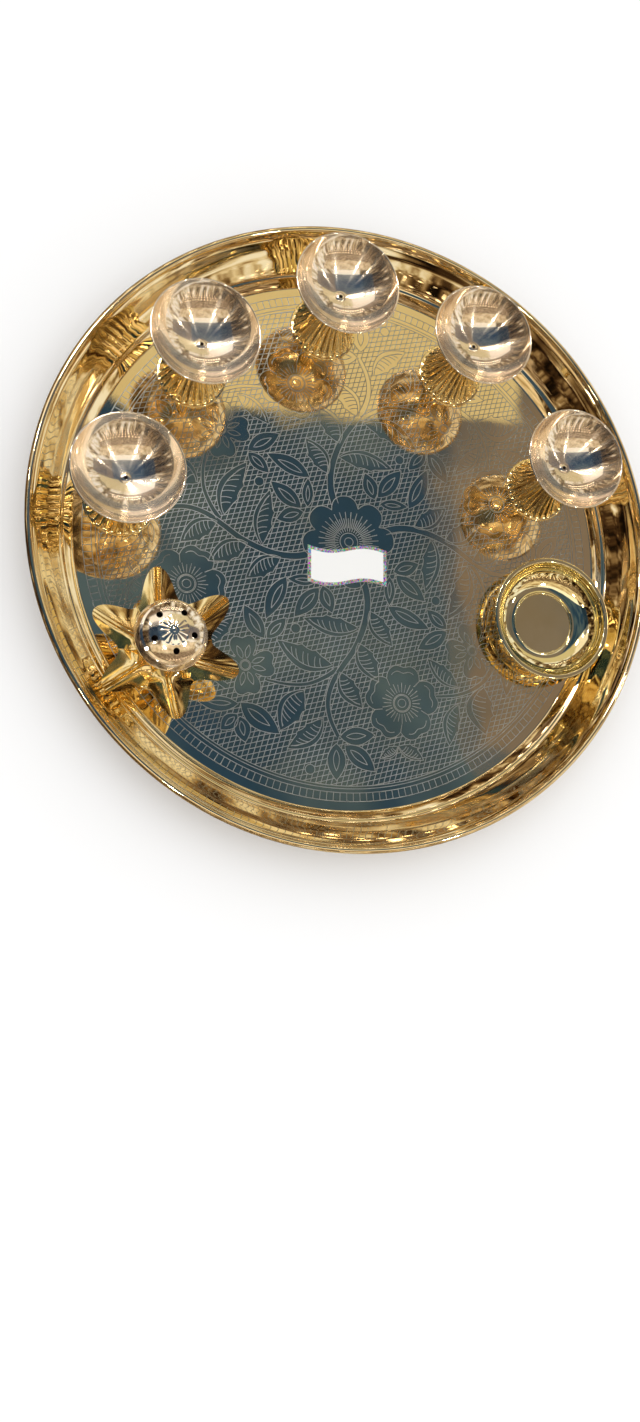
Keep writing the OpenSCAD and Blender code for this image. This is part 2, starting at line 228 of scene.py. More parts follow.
# %% Cards that only reflections see
def glow(name, hex_colour, strength, mottle=0.0, mottle_hex="808080", mottle_scale=1.0):
    """A light-giving material, mottled with a second colour where mottle is above zero."""
    material, tree, output = new_material(name)
    colour = add(tree, "ShaderNodeEmission", {"Color": linear(hex_colour), "Strength": strength})
    if mottle:
        where = add(tree, "ShaderNodeTexCoord").outputs["Object"]
        noise = add(tree, "ShaderNodeTexNoise",
                    {"Vector": where, "Scale": mottle_scale, "Detail": 3.0})
        share = add(tree, "ShaderNodeMapRange",
                    {0: noise.outputs["Fac"], 1: 0.42, 2: 0.62, 3: 0.0, 4: mottle})
        mix = add(tree, "ShaderNodeMix", {"Factor": share.outputs[0], 6: linear(hex_colour),
                                          7: linear(mottle_hex)}, data_type="RGBA")
        tree.links.new(mix.outputs[2], colour.inputs["Color"])
    tree.links.new(colour.outputs[0], output.inputs["Surface"])
    return material


def cards(name, centres, width, depth, material):
    """Panels that show in reflections and nowhere else."""
    panel = flat_panels(name, centres, width, depth, True, material)
    panel.visible_camera = False
    panel.visible_diffuse = False
    panel.visible_shadow = False
    return panel


CEILING = 1.5
CLOTHS = {
    "blue_grey": (("2c4664", 1.0, 0.85, "586c7c", 3.4), (-0.05, 0.19), (1.5, 0.96)),
    "navy": (("1a3048", 1.0, 0.6, "3a4c5c", 3.0), (-1.15, 0.36), (0.9, 1.3)),
    "lilac_brown": (("85786f", 1.0, 0.8, "5c5f68", 3.0), (1.75, 0.19), (2.2, 0.96)),
    "rose": (("f8ece0", 1.2), (-0.8, 1.3), (1.7, 1.26)),
    "beige": (("dccba0", 1.0), (0.95, 1.12), (2.0, 0.9)),
    "linen": (("fff8ea", 1.3), (0.1, -0.41), (1.5, 0.24)),
    "cream": (("f4e0bc", 1.1, 0.9, "a88450", 4.0), (0.1, -0.84), (3.6, 0.62)),
    "umber": (("402a1c", 1.0, 0.9, "b09478", 6.0), (0.0, 2.56), (4.4, 1.26)),
    "russet": (("563c28", 1.0, 0.9, "cbb08e", 6.0), (0.0, -1.8), (4.4, 1.3)),
    "tobacco": (("2a1a10", 1.0, 0.7, "8a6a48", 5.0), (1.75, 1.4), (0.55, 0.36)),
}
for name, (colours, (x, y), (width, depth)) in CLOTHS.items():
    cards("ceiling_" + name, [(x, y, CEILING)], width, depth, glow(name + "_cloth", *colours))

LAMP_Z = 1.48
LAMPS = [(0.0, 0.80, 0.14, 0.10, 80), (-0.55, 0.82, 0.10, 0.08, 80), (-0.52, -0.71, 0.09, 0.10, 70),
         (0.72, -0.60, 0.09, 0.10, 70), (-1.16, -0.39, 0.08, 0.09, 70), (-1.45, 1.05, 0.08, 0.09, 80),
         (1.55, -0.14, 0.09, 0.10, 70)]
for k, (x, y, width, depth, strength) in enumerate(LAMPS):
    cards(f"lamp_{k}", [(x, y, LAMP_Z)], width, depth, glow(f"lamp_light_{k}", "fff6e6", strength))
LAMP_ROWS = [("far_lamps", (2.35, 2.85), (-0.8, 1.3, 0.17), 0.1, (0.06, 0.13), ("fff0d8", 9.0)),
             ("near_lamps", (-1.9, -2.25, -2.65, -3.15, -3.8), (-1.1, 2.3, 0.24), -0.08, (0.05, 0.14),
              ("f8dcb4", 4.0))]
for name, rows, span, slant, size, colour in LAMP_ROWS:
    spots = [(x + slant * y, y, LAMP_Z) for y in rows for x in np.arange(*span)]
    cards(name, spots, *size, glow(name + "_light", *colour))
print(len(CLOTHS), "cloths and", len(LAMPS), "lamps hang", CEILING, "m up")


# %% [markdown]
# ## Turned outlines
# Spun and turned pieces share one description: an outline of their shown face, drawn from the axis
# outward, and the sheet's thickness behind it. Arcs come from one function, and a second function
# sets the back of the sheet square to the front, so that each bend keeps its full thickness.

# %% Turned outlines
def arc(x, z, radius, start, stop, steps, tall=1.0):
    """Points of an arc about (x, z), in millimetres, from start to stop degrees. An arc of an oval
    is as many times taller than it is wide as tall says."""
    return [(x + radius * math.cos(a), z + radius * tall * math.sin(a))
            for a in np.radians(np.linspace(start, stop, steps + 1))]


def leftward(run):
    """The unit vector to the left of each step of a path."""
    return np.stack([-run[:, 1], run[:, 0]], 1) / np.linalg.norm(run, axis=1)[:, None]


def sheet(outline, thickness):
    """The closed section of a sheet whose shown face runs along the outline, of one thickness or of
    one thickness at each point."""
    front = np.array(outline, float)
    left = leftward(np.diff(front, axis=0))
    before, after = np.vstack([left[:1], left]), np.vstack([left, left[-1:]])
    step = (before + after) / (1 + (before * after).sum(1))[:, None]
    return np.vstack([front, (front - np.reshape(thickness, (-1, 1)) * step)[::-1]])


print("a sample sheet has", len(sheet(arc(0, 0, 2, 0, 90, 8), 0.5)), "points")


# %% [markdown]
# ## Spinning
# The outline turns about the piece's own axis. The mesh also gets a UV map: u runs round the axis and
# v along the sheet in millimetres, so that turning marks and the stretched shine of a lathe finish
# can follow the metal. The last column of faces closes on the first, and points on the axis are one.

# %% Spinning
def spin(name, section, at, around=256, closed=True):
    """A turned piece: section is a list of (radius, height) in millimetres, at its seat in metres."""
    ring_start, points = [], []
    angles = np.arange(around) * 2 * math.pi / around
    for radius, height in section:
        ring_start.append((len(points), radius > 0))
        points += [(radius * math.cos(a), radius * math.sin(a), height)
                   for a in (angles if radius > 0 else [0.0])]
    lengths = np.linalg.norm(np.diff(np.vstack([section, section[:1]]), axis=0), axis=1)
    along = np.concatenate([[0], np.cumsum(lengths)])
    faces, coords = [], []
    count = len(section)
    for k in range(count if closed else count - 1):
        (low, low_ring), (high, high_ring) = ring_start[k], ring_start[(k + 1) % count]
        for i in range(around if (low_ring or high_ring) else 0):
            j = (i + 1) % around
            corners = [(low + i * low_ring, i, 0), (low + j * low_ring, i + 1, 0),
                       (high + j * high_ring, i + 1, 1), (high + i * high_ring, i, 1)]
            if not low_ring:
                corners.pop(1)
            elif not high_ring:
                corners.pop(2)
            faces.append([c[0] for c in corners])
            coords += [(c[1] / around, along[k + c[2]]) for c in corners]
    piece = shell(name, [Vector(p) * MM + at for p in points], faces)
    layer = piece.data.uv_layers.new(name="turning")
    layer.data.foreach_set("uv", np.array(coords, np.float32).ravel())
    outward(piece.data)
    return piece


def outward(mesh):
    """Turns every face of a closed mesh to point out of the metal."""
    work = bmesh.new()
    work.from_mesh(mesh)
    bmesh.ops.recalc_face_normals(work, faces=work.faces)
    work.to_mesh(mesh)
    work.free()


def dress(piece, material, body, node, crease=35):
    """Gives a finished piece its material, smooth shading and place in the object."""
    piece.data.materials.clear()
    piece.data.materials.append(material)
    piece.data.shade_smooth()
    piece.data.set_sharp_from_angle(angle=math.radians(crease))
    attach(piece, body)
    if node:
        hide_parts(node)
    print(piece.name, len(piece.data.polygons), "faces")
    return piece


# %% [markdown]
# ## Brass
# Brass is copper with about a third of zinc. Polished, it is a mirror whose own colour tints what it
# shows: pale gold at one bounce, deep orange after several, which is why the hollows glow.
# The marks that its making leaves set the rest: fine rings where it was turned, and faint smears
# where it was wiped. In the bowls a share of the shine is drawn out by the turning marks, so a lamp
# shows there as a spot with thin spokes.

# %% Brass
RAY_ROUGHNESS, RAY_STRETCH = 0.21, 0.99
# Noise scales per metre: patches of about 22 mm, smears of 8 mm and slow waves of 36 mm.
PATCH_SCALE, SMEAR_SCALE, WAVE_SCALE = 45.0, 130.0, 28.0


def brass(name, tint, worn_tint, roughness, groove_mm=0.25, groove_depth=0.004, wave_depth=0.0,
          rays=0.0, smear=0.08):
    """Polished brass. Grooves run round the axis, and a slow wave bends what the metal mirrors.
    A share of the light, rays, is drawn out by the finest turning marks, square to the grooves."""
    material, tree, output = new_material(name)
    here = add(tree, "ShaderNodeTexCoord").outputs["Object"]
    patches = add(tree, "ShaderNodeTexNoise", {"Vector": here, "Scale": PATCH_SCALE, "Detail": 4.0})
    tone = add(tree, "ShaderNodeMapRange",
               {0: patches.outputs["Fac"], 1: 0.35, 2: 0.75, 3: 0.0, 4: 1.0})
    colour = add(tree, "ShaderNodeMix",
                 {"Factor": tone.outputs[0], 6: linear(tint), 7: linear(worn_tint)}, data_type="RGBA")
    wiped = add(tree, "ShaderNodeTexNoise", {"Vector": here, "Scale": SMEAR_SCALE, "Detail": 5.0})
    dull = add(tree, "ShaderNodeMapRange",
               {0: wiped.outputs["Fac"], 1: 0.4, 2: 0.8, 3: roughness, 4: roughness + smear})
    turning = add(tree, "ShaderNodeUVMap", uv_map="turning").outputs[0]
    along = add(tree, "ShaderNodeSeparateXYZ", {0: turning})
    rings = add(tree, "ShaderNodeTexNoise",
                {"W": along.outputs["Y"], "Scale": 1 / groove_mm, "Detail": 2.0},
                noise_dimensions="1D")
    slow = add(tree, "ShaderNodeTexNoise", {"Vector": here, "Scale": WAVE_SCALE, "Detail": 1.0})
    grooves = add(tree, "ShaderNodeBump",
                  {"Height": rings.outputs["Fac"], "Distance": groove_depth * MM, "Strength": 1.0})
    waves = add(tree, "ShaderNodeBump", {"Height": slow.outputs["Fac"], "Distance": wave_depth * MM,
                                         "Strength": 1.0, "Normal": grooves.outputs[0]})
    metal = add(tree, "ShaderNodeBsdfPrincipled",
                {"Base Color": colour.outputs[2], "Metallic": 1.0, "Roughness": dull.outputs[0],
                 "Normal": waves.outputs[0]})
    if rays:
        lay = add(tree, "ShaderNodeTangent", direction_type="UV_MAP", uv_map="turning")
        drawn = add(tree, "ShaderNodeBsdfPrincipled",
                    {"Base Color": colour.outputs[2], "Metallic": 1.0, "Roughness": RAY_ROUGHNESS,
                     "Normal": waves.outputs[0], "Tangent": lay.outputs[0],
                     "Anisotropic": RAY_STRETCH, "Anisotropic Rotation": 0.25})
        metal = add(tree, "ShaderNodeMixShader", {0: rays, 1: metal.outputs[0], 2: drawn.outputs[0]})
    tree.links.new(metal.outputs[0], output.inputs["Surface"])
    return material


tray_brass = brass("spun_polished_brass", "f4e4be", "f0dcb0", 0.02, groove_depth=0.0015,
                   wave_depth=0.25, smear=0.03)
bowl_brass = brass("turned_pale_brass", "f8eee0", "f4e4cd", 0.03, groove_mm=0.3, groove_depth=0.002,
                   rays=0.45, smear=0.02)
cap_brass = brass("satin_cap_brass", "faf2e4", "f2e6d0", 0.10, groove_mm=0.3, groove_depth=0.002,
                  smear=0.04)
foot_brass = brass("pressed_golden_brass", "f5e2b2", "efd592", 0.03, groove_depth=0.0, smear=0.03)
petal_brass = brass("pressed_leaf_brass", "fbe8b2", "f6d896", 0.07, groove_depth=0.0, smear=0.03)
katori_brass = brass("spun_katori_brass", "f2e8c0", "eadcaa", 0.04, groove_mm=0.5,
                     groove_depth=0.003, smear=0.04)
line_brass = brass("chased_line_brass", "a6a8a6", "969690", 0.38, groove_depth=0.0)
brasses = (tray_brass, bowl_brass, cap_brass, foot_brass, petal_brass, katori_brass, line_brass)
print("brasses:", [m.name for m in brasses])
# A dark brown painted shade for hollows and holes. It stands in for the shade inside them.
hollow_shade = plain("painted_hollow_shade",
                {"Base Color": linear("2c1c10"), "Metallic": 0.3, "Roughness": 0.7})


# %% [markdown]
# ## Tray
# A disc of sheet is spun over a form: flat floor, a low ramp with a ledge, a flared wall, one raised
# line, and an edge rolled over a wire. A single outline holds all of it.

# %% Tray
TRAY_T, FLOOR_R = 0.8, 122.3
RAMP_W, RAMP_H, RAMP_EASE = 3.2, 3.0, 1.5
LEDGE_W, LEDGE_H = 1.0, 0.3
FLARE_W, WALL_EASE = 10.7, 3.0
LINE_W, LINE_H = 1.1, 0.9
CURL_R, CURL_GAP = 1.5, 0.2
WALL_BOW, RIPPLE_H, RIPPLES = 0.6, 0.012, 3
TRAY_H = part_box("thali_tray")[1].z / MM


def tray_outline():
    """The tray's shown face, from the middle of its floor to the end of its rolled edge."""
    ramp = math.degrees(math.atan(RAMP_H / RAMP_W))
    ledge = (FLOOR_R + RAMP_W + LEDGE_W, TRAY_T + RAMP_H + LEDGE_H)
    top = (ledge[0] + FLARE_W, TRAY_H - CURL_R - LINE_H - LEDGE_W)
    wall = math.degrees(math.atan((top[1] - ledge[1]) / FLARE_W))
    bend = FLOOR_R - RAMP_EASE * math.tan(math.radians(ramp / 2))
    foot_of_wall = ledge[0] - WALL_EASE * math.tan(math.radians(wall / 2)) / 2
    curl_x = top[0] + LINE_W + CURL_R + CURL_GAP
    ease = arc(foot_of_wall, ledge[1] + WALL_EASE, WALL_EASE, -84, wall - 90, 12)
    t = np.linspace(0, 1, 41)[1:]
    sag = WALL_BOW * np.sin(np.pi * t) + RIPPLE_H * np.sin(2 * np.pi * RIPPLES * t)
    across = (math.sin(math.radians(wall)), -math.cos(math.radians(wall)))
    run = [(ease[-1][0] + (top[0] - ease[-1][0]) * u + across[0] * v,
            ease[-1][1] + (top[1] - ease[-1][1]) * u + across[1] * v) for u, v in zip(t, sag)]
    return ([(r, TRAY_T) for r in (0, 30, 60, 90, 110)]
            + arc(bend, TRAY_T + RAMP_EASE, RAMP_EASE, -90, ramp - 90, 8)
            + [(FLOOR_R + RAMP_W, TRAY_T + RAMP_H)]
            + ease + run + [(top[0] + LINE_W, top[1] + LINE_H)]
            + arc(curl_x, TRAY_H - CURL_R, CURL_R, 170, -120, 36))


tray = spin("tray_shell", sheet(tray_outline(), TRAY_T), Vector((0, 0, 0)), around=512)
dress(tray, tray_brass, "tray", "thali_tray", crease=24)


# %% [markdown]
# ## Engraved floor
# The floor carries a traditional pattern: flowers, daisies, leaves with combed veins, stems, and a
# fine diamond hatch between them, inside a border like a ladder. The same quarter turns four times
# round the middle. Every line stands up from the polish as a fine ridge of duller metal.
# Each motif is a few numbers, in millimetres, and the quarter turns are added last.

# %% Lines of one quarter
RIDGE_W, RIDGE_H, RIDGE_SINK, FLOOR_Z = 0.37, 0.045, 0.005, 0.8
CURVE_STEPS, COMB_TEETH, DAISY_R = 6, 7, 13.6
lines, masks = [], []


def outline(rim):
    """Engraves a motif's rim, and keeps the hatch out of it."""
    lines.append(rim)
    masks.append(rim)


def smooth(points):
    """A curve through given points (Catmull-Rom)."""
    p = np.array([points[0], *points, points[-1]], float)
    t = np.linspace(0, 1, CURVE_STEPS, endpoint=False)[:, None]
    parts = [0.5 * ((2 * b) + (c - a) * t + (2 * a - 5 * b + 4 * c - d) * t ** 2
                    + (3 * b - a - 3 * c + d) * t ** 3)
             for a, b, c, d in zip(p, p[1:], p[2:], p[3:])]
    return np.vstack(parts + [p[-1:]])


def polar(centre, radii, degrees):
    """Points round a centre."""
    a = np.radians(degrees)
    return np.stack([centre[0] + radii * np.cos(a), centre[1] + radii * np.sin(a)], 1)


def ring(centre, radius, steps=24):
    """A closed circle."""
    return polar(centre, np.full(steps + 1, radius), np.linspace(0, 360, steps + 1))


def bowed(start, end, bulge, steps=10):
    """An arc-like line from start to end that swings out to the left by bulge."""
    start, end = np.array(start, float), np.array(end, float)
    run = end - start
    left = np.array([-run[1], run[0]]) / np.linalg.norm(run)
    t = np.linspace(0, 1, steps + 1)[:, None]
    return start + run * t + left * bulge * np.sin(np.pi * t ** 0.9) ** 0.9


def loop(base, tip, belly, back, steps=10):
    """A closed line of two bowed sides."""
    return np.vstack([bowed(base, tip, belly, steps), bowed(base, tip, -back, steps)[::-1]])


def almond(base, tip, belly, back):
    """A leaf of two bowed sides with a long loop inside."""
    outline(loop(base, tip, belly, back))
    base, tip = np.array(base, float), np.array(tip, float)
    low, high = base + (tip - base) * 0.18, base + (tip - base) * 0.74
    lines.append(loop(low, high, belly * 0.32, back * 0.32))


def comb_leaf(base, tip, belly, back):
    """A leaf with one deep side: a vein follows that side, and a comb of short strokes leaves it."""
    base, tip = np.array(base, float), np.array(tip, float)
    deep = bowed(base, tip, belly, 12)
    run = tip - base
    far = bowed(base, tip, -back, 12)
    far[4:10:3] += (run * 0.03 + (far[4:10:3] - deep[4:10:3]) * 0.10)
    outline(np.vstack([deep, far[::-1]]))
    vein = bowed(base + run * 0.04, tip - run * 0.10, belly * 0.66, 14)
    lines.append(vein)
    for k in range(COMB_TEETH):
        t = 0.16 + 0.66 * k / (COMB_TEETH - 1)
        start = vein[int(t * 14)] * (1 - t * 14 % 1) + vein[min(14, int(t * 14) + 1)] * (t * 14 % 1)
        across = (bowed(base, tip, -back, 14)[min(14, int(t * 14) + 2)] - start)
        lines.append(bowed(start, start + across * 0.72, np.sign(belly) * 0.35, 4))


def flower(centre, turn):
    """A five-petalled scalloped flower with a double ring and a burst of rays."""
    u = np.linspace(-1, 1, 19)
    rim, inside = [], []
    for k in range(5):
        reach = 13.2 + 4.6 * (1 - np.abs(u) ** 3) - 1.3 * np.exp(-(u / 0.22) ** 2)
        angles = turn + 72 * k + 36 * u
        rim.append(polar(centre, reach, angles))
        inside.append(polar(centre, reach[4:-3] - 2.7, angles[4:-3]))
        lines.append(polar(centre, np.array([9.6, 13.2]), np.array([angles[0] + 3, angles[0]])))
    lines.extend(inside)
    outline(np.vstack(rim))
    lines.extend([ring(centre, 4.1), ring(centre, 3.6), ring(centre, 1.9, 16)])
    for k in range(28):
        a = 360 * (k + 0.5) / 28
        lines.append(polar(centre, np.array([5.0, 9.4 - 0.8 * (k % 2)]), np.array([a, a])))


def daisy(centre, turn):
    """Four heart-shaped petals, each with two long loops, round a dot."""
    u = np.linspace(-1, 1, 17)
    rim = []
    for k in range(4):
        far = DAISY_R * (0.42 + 0.58 * (1 - np.abs(u) ** 4)) - 1.5 * np.exp(-(u / 0.2) ** 2)
        rim.append(polar(centre, far, turn + 90 * k + 43 * u))
        for side in (-17, 17):
            a = turn + 90 * k + side
            tip, foot = polar(centre, np.array([9.2, 3.1]), np.array([a, a]))
            lines.append(loop(foot, tip, 1.1, 1.1, 8))
    outline(np.vstack(rim))
    lines.extend([ring(centre, 2.4), ring(centre, 1.9, 16)])


def tendril(points, half_width):
    """A tapering band between two lines along a smooth curve."""
    middle = smooth(points)
    width = half_width * np.linspace(0.55, 1.0, len(middle))[:, None]
    off = leftward(np.gradient(middle, axis=0)) * width
    sides = middle + off, middle - off
    lines.extend(sides)
    masks.append(np.vstack([sides[0], sides[1][::-1]]))


flower((15.8, -75.6), 80)
daisy((-53.8, -53.3), 0)
tendril([(-15.8, -88), (-18.4, -80), (-18.6, -72), (-15.5, -64), (-10, -57), (-3.5, -49.5),
         (1.5, -41), (4.5, -33), (5.5, -25), (4.5, -18)], 1.7)
tendril([(-45, -60.5), (-36, -63), (-27, -63.6), (-19, -61.3), (-13.5, -58.5)], 1.1)
tendril([(32.5, -73.8), (42, -74), (50, -72.3), (57, -68.5), (62, -63)], 1.2)
for base, tip, belly, back in [
        ((-15, -88.3), (1.3, -88.9), 4.0, 4.2), ((-17, -91), (-18.9, -107.4), 4.4, 4.2),
        ((-13.2, -92.2), (-0.6, -105.2), 4.4, 4.0), ((-16.5, -20.5), (-29.5, -33.2), 4.0, 4.0),
        ((-14.8, -19.6), (-11.7, -32.5), 3.4, 3.8), ((-17, -17.4), (-30.6, -15.6), 2.7, 2.6),
        ((-30.9, -14.8), (-42.4, -33.4), 3.4, 4.6), ((-44, -42), (-51.5, -26.5), 4.2, 3.6),
        ((-43, -42), (-33.2, -33.4), 3.2, 3.2), ((-58.6, -70), (-76.4, -67.3), 3.8, 2.8),
        ((-57.7, -69.6), (-41.8, -84.6), 4.4, 5.0), ((-59.5, -74.5), (-67.6, -80.6), 3.4, 3.4),
        ((-58.6, -75.5), (-57.4, -87.0), 3.6, 3.6)]:
    almond(base, tip, belly, back)
for base, tip, belly, back in [
        ((-14, -56.6), (-38.5, -43), 7.4, 2.4), ((0, -40.5), (-25.5, -33.8), 5.6, 2.9),
        ((5.8, -32.5), (14.6, -49.5), -5.0, -3.4), ((-1.4, -46.8), (6.0, -65), -5.4, -3.7),
        ((-11.7, -59.3), (-3.0, -76.5), -5.5, -3.2), ((44, -70.5), (30.7, -56), 4.4, 2.8),
        ((42.8, -78), (36, -96.8), -5.4, -2.4), ((56.2, -70.8), (54.4, -93.2), -9.0, -3.6),
        ((11.5, -95), (22.7, -102.2), -2.6, -3.4), ((11.5, -95), (2.3, -99.5), 2.6, 2.0),
        ((-29, -66), (-41.6, -83.2), -6.6, -4.6), ((-21.5, -79.4), (-39.4, -91.4), 6.2, 2.4)]:
    comb_leaf(base, tip, belly, back)
for centre in ((-29.4, -38.4), (-30.2, -101.3)):
    outline(ring(centre, 2.2, 20))
print(len(lines), "lines in one quarter")


# %% The whole floor
def turned(points, quarter):
    """Points turned about the tray's middle by quarter turns."""
    c, s = ((1, 0), (0, 1), (-1, 0), (0, -1))[quarter]
    return points @ np.array([[c, s], [-s, c]])


pattern = [turned(line, q) for q in range(4) for line in lines]
covers = [turned(mask, q) for q in range(4) for mask in masks]

u = np.linspace(-1, 1, 15)
middle_rim = [polar((0, 0), 16.5 + 5.2 * (1 - np.abs(u) ** 2.6), 45 * k + 22.5 * u) for k in range(8)]
covers.append(np.vstack(middle_rim))
pattern.append(np.vstack(middle_rim))
for k in range(64):
    spoke = np.array([5.0 + 1.5 * (k % 2), 14.2 - 3 * (k % 2)])
    pattern.append(polar((0, 0), spoke, np.full(2, 360 * k / 64)))
pattern += [ring((0, 0), 4.2), ring((0, 0), 2.0)]

LADDER_LOW, LADDER_HIGH, INNER_RING, HATCH_R, RUNGS = 114.2, 118.0, 112.4, 111.2, 240
pattern += [ring((0, 0), radius, 288) for radius in (LADDER_LOW, LADDER_HIGH, INNER_RING, HATCH_R)]
pattern += [polar((0, 0), np.array([LADDER_LOW, LADDER_HIGH]), np.full(2, 360 * k / RUNGS))
            for k in range(RUNGS)]


def covered(points):
    """Which points lie inside any motif."""
    hit = np.zeros(len(points), bool)
    for cover in covers:
        low, high = cover.min(0), cover.max(0)
        near = np.flatnonzero(((points >= low) & (points <= high)).all(1) & ~hit)
        if len(near) == 0:
            continue
        x, y = points[near, 0][:, None], points[near, 1][:, None]
        a, b = cover, np.roll(cover, -1, axis=0)
        cross = (a[:, 1] > y) != (b[:, 1] > y)
        slope = (b[:, 0] - a[:, 0]) / np.where(b[:, 1] == a[:, 1], 1e-9, b[:, 1] - a[:, 1])
        hit[near] = ((x < a[:, 0] + slope * (y - a[:, 1])) & cross).sum(1) % 2 == 1
    return hit


HATCH_PITCH, HATCH_TURNS, STEP = 2.3, (7, 67), 0.3
for turn_deg in HATCH_TURNS:
    along = np.array([math.cos(math.radians(turn_deg)), math.sin(math.radians(turn_deg))])
    across = np.array([-along[1], along[0]])
    for offset in np.arange(-HATCH_R + HATCH_PITCH / 2, HATCH_R, HATCH_PITCH):
        half = math.sqrt(HATCH_R ** 2 - offset ** 2)
        t = np.arange(-half, half, STEP)
        free = ~covered(across * offset + along * t[:, None])
        edges = np.flatnonzero(np.diff(np.concatenate([[0], free, [0]])))
        pattern += [np.array([across * offset + along * t[i], across * offset + along * t[j - 1]])
                    for i, j in zip(edges[::2], edges[1::2]) if j - i > 2]
print(len(pattern), "lines on the floor")


# %% Ridges
def ridges(name, paths, width, height, base_z):
    """One mesh of closed ribbons with a ridged section along many paths, in millimetres."""
    points, faces = [], []
    for path in paths:
        closed = len(path) > 3 and np.linalg.norm(path[0] - path[-1]) < 1e-6
        path = path[:-1] if closed else path
        ahead = np.roll(path, -1, axis=0) - path if closed else np.gradient(path, axis=0)
        back = path - np.roll(path, 1, axis=0) if closed else ahead
        run = ahead / (np.linalg.norm(ahead, axis=1)[:, None] + 1e-12) \
            + back / (np.linalg.norm(back, axis=1)[:, None] + 1e-12)
        run /= np.linalg.norm(run, axis=1)[:, None] + 1e-12
        side = np.stack([-run[:, 1], run[:, 0]], 1) * width / 2
        first, count = len(points), len(path)
        for p, s in zip(path, side):
            points += [(p[0] + s[0], p[1] + s[1], base_z), (p[0], p[1], base_z + height),
                       (p[0] - s[0], p[1] - s[1], base_z)]
        for k in range(count if closed else count - 1):
            a, b = first + 3 * k, first + 3 * ((k + 1) % count)
            faces += [(a, a + 1, b + 1, b), (a + 1, a + 2, b + 2, b + 1), (a + 2, a, b, b + 2)]
        if not closed:
            last = first + 3 * (count - 1)
            faces += [(first, first + 2, first + 1), (last, last + 1, last + 2)]
    piece = shell(name, [Vector(p) * MM for p in points], faces)
    outward(piece.data)
    return piece


engraving = ridges("floor_engraving", pattern, RIDGE_W, RIDGE_H, FLOOR_Z - RIDGE_SINK)
engraving.data.uv_layers.new(name="turning")
dress(engraving, line_brass, "tray", None, crease=60)


# %% [markdown]
# ## Geometry Nodes helpers
# What repeats round an axis is made by Geometry Nodes. Each tree is built here with named inputs,
# its modifier is set through the sockets' identifiers, and the result becomes a plain mesh.

# %% Geometry Nodes helpers
def new_tree(name, inputs):
    """A node tree with a geometry input, the named inputs and a geometry output."""
    tree = bpy.data.node_groups.new(name, "GeometryNodeTree")
    tree.interface.new_socket("Geometry", in_out="INPUT", socket_type="NodeSocketGeometry")
    for label, kind in inputs:
        tree.interface.new_socket(label, in_out="INPUT", socket_type=kind)
    tree.interface.new_socket("Geometry", in_out="OUTPUT", socket_type="NodeSocketGeometry")
    return tree, add(tree, "NodeGroupInput"), add(tree, "NodeGroupOutput")


def close_tree(tree, source, geometry, output):
    """Ends a tree: instances become real, and the result takes the material of the tree's input."""
    real = add(tree, "GeometryNodeRealizeInstances", {0: geometry})
    painted = add(tree, "GeometryNodeSetMaterial",
                  {"Geometry": real.outputs[0], "Material": source.outputs["Material"]})
    tree.links.new(painted.outputs[0], output.inputs[0])


def settle(piece):
    """Keeps what a piece's modifiers make as its plain mesh."""
    evaluated = piece.evaluated_get(bpy.context.evaluated_depsgraph_get())
    mesh = bpy.data.meshes.new_from_object(evaluated)
    piece.modifiers.clear()
    piece.data = mesh
    return mesh


def grow(piece, tree, values):
    """Runs a tree on a piece and keeps the result as the piece's plain mesh."""
    modifier = piece.modifiers.new(tree.name, "NODES")
    modifier.node_group = tree
    for item in tree.interface.items_tree:
        if item.in_out == "INPUT" and item.name in values:
            modifier[item.identifier] = values[item.name]
    mesh = settle(piece)
    mesh.name = piece.name
    print(piece.name, "grew to", len(mesh.polygons), "faces")
    return piece


def polar_angle(tree, position, centre):
    """Nodes that give each point's direction from the axis and its angle round it."""
    off = add(tree, "ShaderNodeVectorMath", {0: position, 1: centre}, operation="SUBTRACT")
    flat = add(tree, "ShaderNodeVectorMath", {0: off.outputs[0], 1: (1, 1, 0)}, operation="MULTIPLY")
    ray = add(tree, "ShaderNodeVectorMath", {0: flat.outputs[0]}, operation="NORMALIZE")
    parts = add(tree, "ShaderNodeSeparateXYZ", {0: flat.outputs[0]})
    angle = add(tree, "ShaderNodeMath", {0: parts.outputs["Y"], 1: parts.outputs["X"]},
                operation="ARCTAN2")
    return ray.outputs[0], angle.outputs[0]


# %% Tree that presses flutes
VALLEY_POWER = 1.3
flutes_tree, source, output = new_tree("pressed_flutes", [
    ("Count", "NodeSocketInt"), ("Depth", "NodeSocketFloat"), ("Centre", "NodeSocketVector"),
    ("Lift", "NodeSocketFloat"), ("Material", "NodeSocketMaterial")])
position = add(flutes_tree, "GeometryNodeInputPosition").outputs[0]
ray, angle = polar_angle(flutes_tree, position, source.outputs["Centre"])
share = add(flutes_tree, "GeometryNodeInputNamedAttribute", {"Name": "flute_share"},
            data_type="FLOAT")
inward = angle
for operation, by in (("MULTIPLY", source.outputs["Count"]), ("MULTIPLY", 0.5), ("SINE", 0.0),
                      ("ABSOLUTE", 0.0), ("POWER", VALLEY_POWER), ("MULTIPLY", share.outputs[0]),
                      ("MULTIPLY", source.outputs["Depth"]), ("MULTIPLY", -1.0)):
    inward = add(flutes_tree, "ShaderNodeMath", {0: inward, 1: by}, operation=operation).outputs[0]
push = add(flutes_tree, "ShaderNodeVectorMath", {0: ray, "Scale": inward}, operation="SCALE")
drop = add(flutes_tree, "ShaderNodeMath", {0: inward, 1: source.outputs["Lift"]},
           operation="MULTIPLY")
sink = add(flutes_tree, "ShaderNodeCombineXYZ", {"Z": drop.outputs[0]})
both = add(flutes_tree, "ShaderNodeVectorMath", {0: push.outputs[0], 1: sink.outputs[0]},
           operation="ADD")
moved = add(flutes_tree, "GeometryNodeSetPosition",
            {"Geometry": source.outputs["Geometry"], "Offset": both.outputs[0]})
